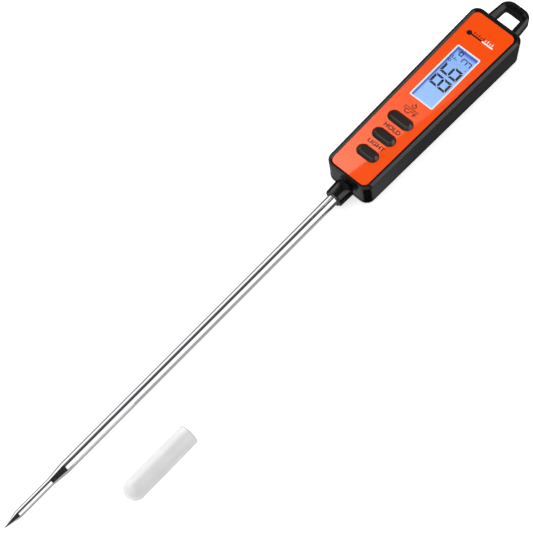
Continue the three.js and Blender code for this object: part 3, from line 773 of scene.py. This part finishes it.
# a plain function word that runs from y0 to y1 across the face, its letters' tops toward the loop
def addLegend(name, words, x0, x1, y0, y1, weight):
    takeNothing()
    bpy.ops.object.text_add(location=(0, 0, 0))
    legend = bpy.context.object
    legend.name = name
    legend.data.body = words
    legend.data.offset = weight
    legend.data.extrude = 0.02
    bpy.ops.object.convert(target="MESH")
    takeOnly(legend)
    setMode("EDIT")
    bpy.ops.mesh.select_all(action="SELECT")
    bpy.ops.mesh.remove_doubles(threshold=0.0001)
    setMode("OBJECT")
    places = [v.co for v in legend.data.vertices]
    low = Vector((min(p.x for p in places), min(p.y for p in places), 0))
    high = Vector((max(p.x for p in places), max(p.y for p in places), 0))
    legend.data.transform(Matrix.Translation(-low))
    legend.scale = ((y0 - y1) / (high.x - low.x), (x1 - x0) / (high.y - low.y), 1)
    legend.rotation_euler = (0, 0, -math.pi / 2)
    legend.location = (x0, y0, face["z"])
    takeOnly(legend)
    settle()
    placeOnBody(legend, "handle", inkDark, even=False)


def makeLegends():
    addLegend("lightLegend", "LIGHT", -32.68, -30.6, 4.36, -4.61, 0.018)
    addLegend("holdLegend", "HOLD", -22.02, -19.8, 4.19, -4.38, 0.018)
    addLegend("degreesLegend", "°C/°F", -10.75, -8.45, 3.70, -3.53, 0.012)
    power = dict(x=-5.95, r=0.98, line=0.36, gap=42, bar=(-7.9, -7.6, -3.95, 3.71), stroke=(0.15, 1.3))
    x, half, gap = power["x"], power["line"] / 2, power["gap"]
    start, end = power["stroke"]
    sign = blankMesh("powerSign")
    addBar(*power["bar"], face["z"], inkDepth)
    addHoop(x, 0, power["r"], power["line"], face["z"], gap / 2, 360 - gap, inkDepth)
    addBar(x + start, x + end, -half, half, face["z"], inkDepth)
    layMarks(sign, inkDark)


# a plain mark: a thermometer lying across the face, dark for its filled length and white beyond
def makeScaleMark():
    mark = dict(x=39.3, bulbY=6.4, bulb=1.3, stem=0.4, fillEnd=-0.7, lightStart=-0.75, end=-6.5, tick=0.21,
                tickX=40.05, tickLong=(1.4875, 0.9775), firstTick=4.3, pitch=1.25, filledTicks=5, ticks=9)

    def addStem(y0, y1):
        addBar(mark["x"] - mark["stem"], mark["x"] + mark["stem"], y0, y1, face["z"], inkDepth)

    def addDisc(y, r, sides):
        bpy.ops.mesh.primitive_cylinder_add(vertices=sides, radius=r, depth=inkDepth * 1.1,
                                            location=(mark["x"], y, face["z"]))

    def addTicks(first, stop):
        for k in range(first, stop):
            y, end = mark["firstTick"] - k * mark["pitch"], mark["tickX"] + mark["tickLong"][k % 2]
            addBar(mark["tickX"], end, y - mark["tick"], y + mark["tick"], face["z"], inkDepth)

    dark = blankMesh("scaleMarkDark")
    addStem(mark["fillEnd"], mark["bulbY"])
    addDisc(mark["bulbY"], mark["bulb"], 40)
    addTicks(0, mark["filledTicks"])
    layMarks(dark, inkBlack)
    light = blankMesh("scaleMarkLight")
    addStem(mark["end"], mark["lightStart"])
    addDisc(mark["end"], mark["stem"], 32)
    addTicks(mark["filledTicks"], mark["ticks"])
    layMarks(light, inkWhite)


def makeKey(name, key):
    crown = dict(flange=0.9, flangeLow=13.5, flangeHigh=14.55, stem=1.2, stemLow=12.4,
                 shape=((0.0, 17.05), (0.98, 18.2), (1.32, 18.42), (1.44, 18.48), (1.54, 18.5)))
    flange, high = keyOutline(key, crown["flange"]), crown["flangeHigh"]
    levels = [(flange, crown["flangeLow"]), (flange, high), (keyOutline(key), high + 0.02)]
    levels += [(keyOutline(key, -by), z) for by, z in crown["shape"]]
    piece = stackOutlines(name + "Key", levels, steps=16)
    weld(piece, rod("stem", key["x"], 0, crown["stem"], crown["stemLow"], crown["flangeLow"] + 0.2, 32))
    placeOnBody(piece, name + "_key", buttonBlack, [name + "_button"], smooth=28)


def makeProbe():
    tube = dict(r=2.7, wall=0.3, inner=-41.0, neckStart=-227.1, neckEnd=-235.3, tipR=1.88, coneStart=-254.3,
                tip=-262.4, point=0.1, sides=144)
    inside = tube["r"] - tube["wall"]
    core = tube["tipR"] - 0.38
    tip, cone = tube["tip"], tube["coneStart"]
    profile = [(tip, 0), (tip + 0.04, tube["point"] * 0.7), (tip + 0.15, tube["point"] + 0.03),
               (cone, tube["tipR"]), (tube["neckEnd"], tube["tipR"]), (tube["neckStart"], tube["r"]),
               (tube["inner"], tube["r"]), (tube["inner"], inside), (tube["neckStart"] - 1, inside),
               (tube["neckEnd"] - 0.5, core), (cone + 1, core), (cone + 0.4, 0)]
    piece = turned("probeTube", profile, "x", (0, 0, probeHeight), tube["sides"])
    placeOnBody(piece, "handle", probeSteel, ["probe_tube"], smooth=4.2, even=False)


def makeCollar():
    collar = dict(outer=-59.4, root=-51.65, rootR=4.75, endR=4.5, grooves=6, grooveWide=2.5, grooveDepth=1.0,
                  turn=-10, bore=2.8, neck=3.5, neckEnd=-47.8, round=0.1, sealRoom=(-56.4, -55.2, 3.65),
                  lock=((-48.0, -4.6, 2.1), (-46.5, 4.6, 9.6)))
    outer, endR = collar["outer"], collar["endR"]
    grip = turned("probeCollar", [
        (outer, 0), (outer, endR - 0.45), (outer + 0.14, endR - 0.14), (outer + 0.5, endR),
        (collar["root"], collar["rootR"]), (collar["root"], 0),
    ], "x", (0, 0, probeHeight), 96)
    half, low = collar["grooveWide"] / 2, collar["rootR"] - collar["grooveDepth"]
    for k in range(collar["grooves"]):
        groove = block("groove", (outer - 1, -half, low), (collar["root"] - 0.9, half, low + 2))
        soften(groove, 0.2, 3)
        groove.rotation_euler = (math.radians(k * 360 / collar["grooves"] - collar["turn"]), 0, 0)
        groove.location = (0, 0, probeHeight)
        takeOnly(groove)
        settle()
        carve(grip, groove)
    soften(grip, collar["round"], 2, 32)
    weld(grip, rodAlongX("neck", collar["root"] - 0.2, collar["neckEnd"], collar["neck"], probeHeight),
         block("lock", *collar["lock"]))
    carve(grip, rodAlongX("bore", outer - 1, -43, collar["bore"], probeHeight, 72),
          rodAlongX("sealRoom", *collar["sealRoom"], probeHeight))
    placeOnBody(grip, "handle", casingBlack, ["probe_collar"], smooth=30)


def makeTipCap():
    cap = dict(r=4.95, wall=0.9, mouth=-181.8, long=37.4, y=-27.65, lip=0.18, steps=20, sides=120)
    closed = cap["mouth"] - cap["long"]
    inner = cap["r"] - cap["wall"]
    lip = cap["lip"]

    def dome(r, x):
        return [(along, max(out, 0)) for along, out in arc(x + r, 0, r, 180, 90, cap["steps"])]

    profile = dome(cap["r"], closed)
    profile[0] = (closed, 0)
    profile += [(cap["mouth"] - lip, cap["r"])] + arc(cap["mouth"] - lip, cap["r"] - lip, lip, 60, 0, 2)
    profile += arc(cap["mouth"] - lip, inner + lip, lip, 0, -60, 2) + [(cap["mouth"] - lip, inner)]
    back = dome(inner, closed + cap["wall"])
    back[0] = (closed + cap["wall"], 0)
    profile += back[::-1]
    piece = turned("tipCap", profile, "x", (0, cap["y"], cap["r"]), cap["sides"])
    placeOnBody(piece, "cap", capMilky, ["tip_cap"], smooth=40, even=False)


def makeBatteryCover():
    cover = dict(r=8.3, low=0.35, high=1.9, slot=(6.0, 0.9, 0.85), tab=9.15, tabLow=1.42, tabWide=3.4,
                 tabs=(90, 210, 330), ring=6.9, ringWide=0.35)
    r, low, high, ring, ringWide = (cover[key] for key in ("r", "low", "high", "ring", "ringWide"))
    disc = turned("batteryCover", [
        (high, 0), (high, r), (low + 0.25, r), (low + 0.07, r - 0.07), (low, r - 0.25), (low, ring + ringWide),
        (low + 0.2, ring + 0.1), (low + 0.2, ring - 0.1), (low, ring - ringWide), (low, 0),
    ], "z", (batteryX, 0, 0), 96)
    weld(disc, *[tabSector("tab", angle, cover["tab"], cover["tabLow"], high, cover["tabWide"])
                 for angle in cover["tabs"]])
    half, wide, deep = cover["slot"]
    carve(disc, prism("coinSlot", rectangle(batteryX, 0, 2 * half, 2 * wide, wide - 0.05), -1, low + deep, 8))
    soften(disc, 0.1, 2, 40)
    placeOnBody(disc, "battery_door", casingBlack, ["battery_cover"])


def makeScrews():
    screw = dict(head=1.9, low=0.5, high=1.7, shank=0.95, core=0.74, pitch=0.7, end=9.0, cross=1.1,
                 crossWide=0.27, crossDeep=0.6)
    thread = []
    z = screw["high"] + 0.3
    while z < screw["end"] - 1.2:
        thread += [(z, screw["core"]), (z + screw["pitch"] / 2, screw["shank"])]
        z += screw["pitch"]
    low, high, head, end = (screw[key] for key in ("low", "high", "head", "end"))
    profile = [(low, 0), (low, head - 0.35), (low + 0.1, head - 0.12), (low + 0.35, head), (high, head),
               (high, screw["shank"]), *thread, (end - 0.8, screw["core"]), (end, 0.2), (end, 0)]
    first = turned("caseScrew1", profile, "z", (*screwPlaces[0], 0), 36)
    x, y = screwPlaces[0]
    reach, wide, deep = screw["cross"], screw["crossWide"], screw["low"] + screw["crossDeep"]
    carve(first, block("cross", (x - reach, y - wide, -1), (x + reach, y + wide, deep)),
          block("cross", (x - wide, y - reach, -1), (x + wide, y + reach, deep)))
    for k, place in enumerate(screwPlaces[1:], 2):
        other = first.copy()
        other.data = first.data.copy()
        other.name = f"caseScrew{k}"
        scene.collection.objects.link(other)
        other.data.transform(Matrix.Translation((place[0] - x, place[1] - y, 0)))
        placeOnBody(other, "handle", screwSteel, [f"case_screw_{k}"])
    placeOnBody(first, "handle", screwSteel, ["case_screw_1"])


makeFrontCase()
makeBackCover()
makeHangLoop()
makeFacePanel()
makeWindow()
makeLcd()
makeDisplayMarks()
makeLegends()
makeScaleMark()
for keyName, keyPlace in keys.items():
    makeKey(keyName, keyPlace)
makeProbe()
makeCollar()
makeTipCap()
makeBatteryCover()
makeScrews()
print("pieces ready")


# the camera, the floor and the studio
camera = dict(
    lookAt=(-107.24, -3.94, 17.15),  # mm
    azimuth=-48.12,
    elevation=63.75,
    distance=1000,
    lens=159.87,
)


def addCamera():
    azimuth, elevation = math.radians(camera["azimuth"]), math.radians(camera["elevation"])
    back = Vector((
        math.sin(azimuth) * math.cos(elevation),
        -math.cos(azimuth) * math.cos(elevation),
        math.sin(elevation),
    ))
    place = (Vector(camera["lookAt"]) + back * camera["distance"]) * mm
    setMode("OBJECT")
    bpy.ops.object.camera_add(location=place, rotation=(math.pi / 2 - elevation, 0, azimuth))
    made = bpy.context.object
    made.name = "camera"
    made.data.lens = camera["lens"]
    made.data.sensor_width = 36
    made.data.clip_start, made.data.clip_end = 0.01, 20
    scene.camera = made


# 1 where value lies between low and high, falling off softly at both ends
def addWindow(tree, value, low, high, soft):
    rise = addRange(tree, value, low - soft, low + soft, smooth=True)
    fall = addRange(tree, value, high - soft, high + soft, 1.0, 0.0, smooth=True)
    return times(tree, rise, fall)


# 1 for rays that bounced off a shiny surface, 0 for all others, those through clear plastic among them
def seenInGloss(tree):
    path = tree.nodes.new("ShaderNodeLightPath")
    alone = addMath(tree, "SUBTRACT", path.outputs["Is Glossy Ray"], path.outputs["Is Transmission Ray"])
    return addMath(tree, "GREATER_THAN", alone, 0.5)


# first to everything but the shine of other pieces, which sees second
def mixByGloss(tree, first, second):
    mix = tree.nodes.new("ShaderNodeMixShader")
    for socket, value in zip(mix.inputs, (seenInGloss(tree), first.outputs[0], second.outputs[0])):
        tree.links.new(value, socket)
    return mix.outputs[0]


# what shiny surfaces see: softboxes along both sides and beyond the probe, and a dark strip overhead
def addStudio():
    studio = dict(dark=0.05, overhead=0.16, box=2.1, farSide=(38.0, 80.0), nearSide=(-81.0, -17.0), soft=1.0,
                  farLong=(-0.35, 0.8, 0.05), nearLong=(0.12, 0.8, 0.02), probeEnd=(-0.42, -0.28),
                  probeEndRise=(0.42, 0.54), fill=1.0, fillLean=0.75)
    world = bpy.data.worlds.new("studio")
    scene.world = world
    world.use_nodes = True
    world.cycles.sampling_method = "NONE"
    tree = world.node_tree
    plain = tree.nodes["Background"]
    x, y, z = readPlace(tree, "Generated")[1]
    angle = times(tree, addMath(tree, "ARCTAN2", y, z), 180 / math.pi)

    def patch(across, along):
        return times(tree, addWindow(tree, angle, *across, studio["soft"]), addWindow(tree, x, *along))

    far = patch(studio["farSide"], studio["farLong"])
    near = patch(studio["nearSide"], studio["nearLong"])
    over = patch((studio["nearSide"][1], studio["farSide"][0]), studio["nearLong"])
    end = times(tree, addRange(tree, x, *studio["probeEnd"], 1.0, 0.0, True),
                addRange(tree, z, *studio["probeEndRise"], smooth=True))
    boxes = times(tree, addMath(tree, "MAXIMUM", addMath(tree, "MAXIMUM", far, near), end), studio["box"])
    strip = times(tree, over, studio["overhead"] - studio["dark"])
    total = addMath(tree, "ADD", addMath(tree, "ADD", boxes, strip), studio["dark"])
    shiny = addNode(tree, "ShaderNodeBackground")
    tree.links.new(total, shiny.inputs["Strength"])
    fill = addMath(tree, "ADD", times(tree, y, studio["fillLean"]), studio["fill"])
    tree.links.new(fill, plain.inputs["Strength"])
    plain.inputs["Color"].default_value = (1, 1, 1, 1)
    tree.links.new(mixByGloss(tree, plain, shiny), tree.nodes["World Output"].inputs["Surface"])


# first where fac is 0 and second where it is 1
def addLevel(tree, fac, first, second):
    rest = times(tree, addMath(tree, "SUBTRACT", 1.0, fac), first)
    return addMath(tree, "ADD", rest, times(tree, fac, second))


# a white sweep that shiny surfaces see as grey: dimmer round the handle, black beside its near corner
def addFloor():
    sweep = dict(size=4, drop=0.0002, white=0.92, lift=0.60, grey=0.62, end=0.27, corner=0.0, side=0.20,
                 under=0.10, endX=-62.0, cornerX=-46.0, cornerY=(-21.0, -9.5), sideX=(-42.0, -12.0), soft=1.0)
    setMode("OBJECT")
    bpy.ops.mesh.primitive_plane_add(size=sweep["size"], location=(0, 0, -sweep["drop"]))
    floor = bpy.context.object
    floor.name = "floor"
    look, tree = newLook("floorLook")
    look.cycles.emission_sampling = "NONE"
    shader = tree.nodes["Principled BSDF"]
    shader.inputs["Base Color"].default_value = (sweep["white"],) * 3 + (1,)
    shader.inputs["Roughness"].default_value = 1.0
    shader.inputs["Specular IOR Level"].default_value = 0.0
    shader.inputs["Emission Color"].default_value = (1, 1, 1, 1)
    shader.inputs["Emission Strength"].default_value = sweep["lift"]
    x, y, _ = readPlace(tree)[1]

    def past(value, edge, falling=False):
        ends = (1.0, 0.0) if falling else (0.0, 1.0)
        return addRange(tree, value, (edge - sweep["soft"]) * mm, (edge + sweep["soft"]) * mm, *ends, True)

    along = addRange(tree, x, sweep["sideX"][0] * mm, sweep["sideX"][1] * mm, sweep["side"], sweep["under"])
    tone = addLevel(tree, past(x, sweep["endX"]), sweep["grey"], sweep["end"])
    beside = times(tree, past(y, sweep["cornerY"][0]), past(y, sweep["cornerY"][1], True))
    tone = addLevel(tree, times(tree, past(x, sweep["endX"]), beside), tone, sweep["corner"])
    tone = addLevel(tree, past(x, sweep["cornerX"]), tone, along)
    seen = addNode(tree, "ShaderNodeEmission")
    tree.links.new(tone, seen.inputs["Strength"])
    below = tree.nodes.new("ShaderNodeMixShader")  # clear from underneath, so the back can be looked at
    tree.links.new(tree.nodes.new("ShaderNodeNewGeometry").outputs["Backfacing"], below.inputs[0])
    tree.links.new(mixByGloss(tree, shader, seen), below.inputs[1])
    tree.links.new(addNode(tree, "ShaderNodeBsdfTransparent").outputs[0], below.inputs[2])
    tree.links.new(below.outputs[0], tree.nodes["Material Output"].inputs["Surface"])
    floor.data.materials.append(look)


# a flat sheet one unit wide, at the origin
def newSheet(name, turn=0.0):
    takeNothing()
    bpy.ops.mesh.primitive_plane_add(size=1, location=(0, 0, 0), rotation=(turn, 0, 0))
    sheet = bpy.context.object
    sheet.name = name
    settle()
    return sheet


# makes a sheet glow, seen only in the shine of other pieces
def lightSheet(sheet, name, values):
    sheet.visible_camera = sheet.visible_diffuse = sheet.visible_shadow = sheet.visible_transmission = False
    look, tree = newLook(name)
    tree.nodes.remove(tree.nodes["Principled BSDF"])
    glow = addNode(tree, "ShaderNodeEmission", values)
    tree.links.new(glow.outputs[0], tree.nodes["Material Output"].inputs["Surface"])
    sheet.data.materials.append(look)
    return tree, glow


# a long softbox above the loop end, fading along its length, that lays a sheen across the panel
def addSheenBox():
    box = dict(start=(199.8, 193.4, 600.0), turn=-8.4, long=(-25.0, 200.0), wide=(0.0, 60.0), strength=3.5,
               colour=(1.0, 0.97, 0.78, 1), fade=145.0, power=1.5)
    sheet = newSheet("sheenBox")
    along, across = box["long"], box["wide"]
    sheet.scale = ((along[1] - along[0]) * mm, (across[1] - across[0]) * mm, 1)
    sheet.location = (sum(along) / 2 * mm, sum(across) / 2 * mm, 0)
    settle()
    sheet.rotation_euler = (0, 0, math.radians(box["turn"]))
    sheet.location = Vector(box["start"]) * mm
    tree, glow = lightSheet(sheet, "sheenLight", {"Color": box["colour"]})
    left = addRange(tree, readPlace(tree)[1][0], 0.0, box["fade"] * mm, 1.0, 0.0)
    strength = times(tree, addMath(tree, "POWER", left, box["power"]), box["strength"])
    tree.links.new(strength, glow.inputs["Strength"])


# upright cards beside the handle: a lit one for the near chamfer and a dark one behind the far rim
cards = dict(
    nearCard=dict(y=-60.0, long=(-34.0, 82.0), high=(6.0, 46.0), strength=1.5),
    farCard=dict(y=60.0, long=(-26.0, 110.0), high=(1.0, 110.0), strength=0.03),
)


def addCard(name, card):
    sheet = newSheet(name, math.pi / 2)
    along, up = card["long"], card["high"]
    sheet.scale = ((along[1] - along[0]) * mm, 1, (up[1] - up[0]) * mm)
    sheet.location = Vector((sum(along) / 2, card["y"], sum(up) / 2)) * mm
    settle()
    lightSheet(sheet, name + "Light", {"Strength": card["strength"]})


addCamera()
addStudio()
addFloor()
addSheenBox()
for cardName, cardPlace in cards.items():
    addCard(cardName, cardPlace)
scene.view_settings.view_transform = "Standard"
print("studio ready")
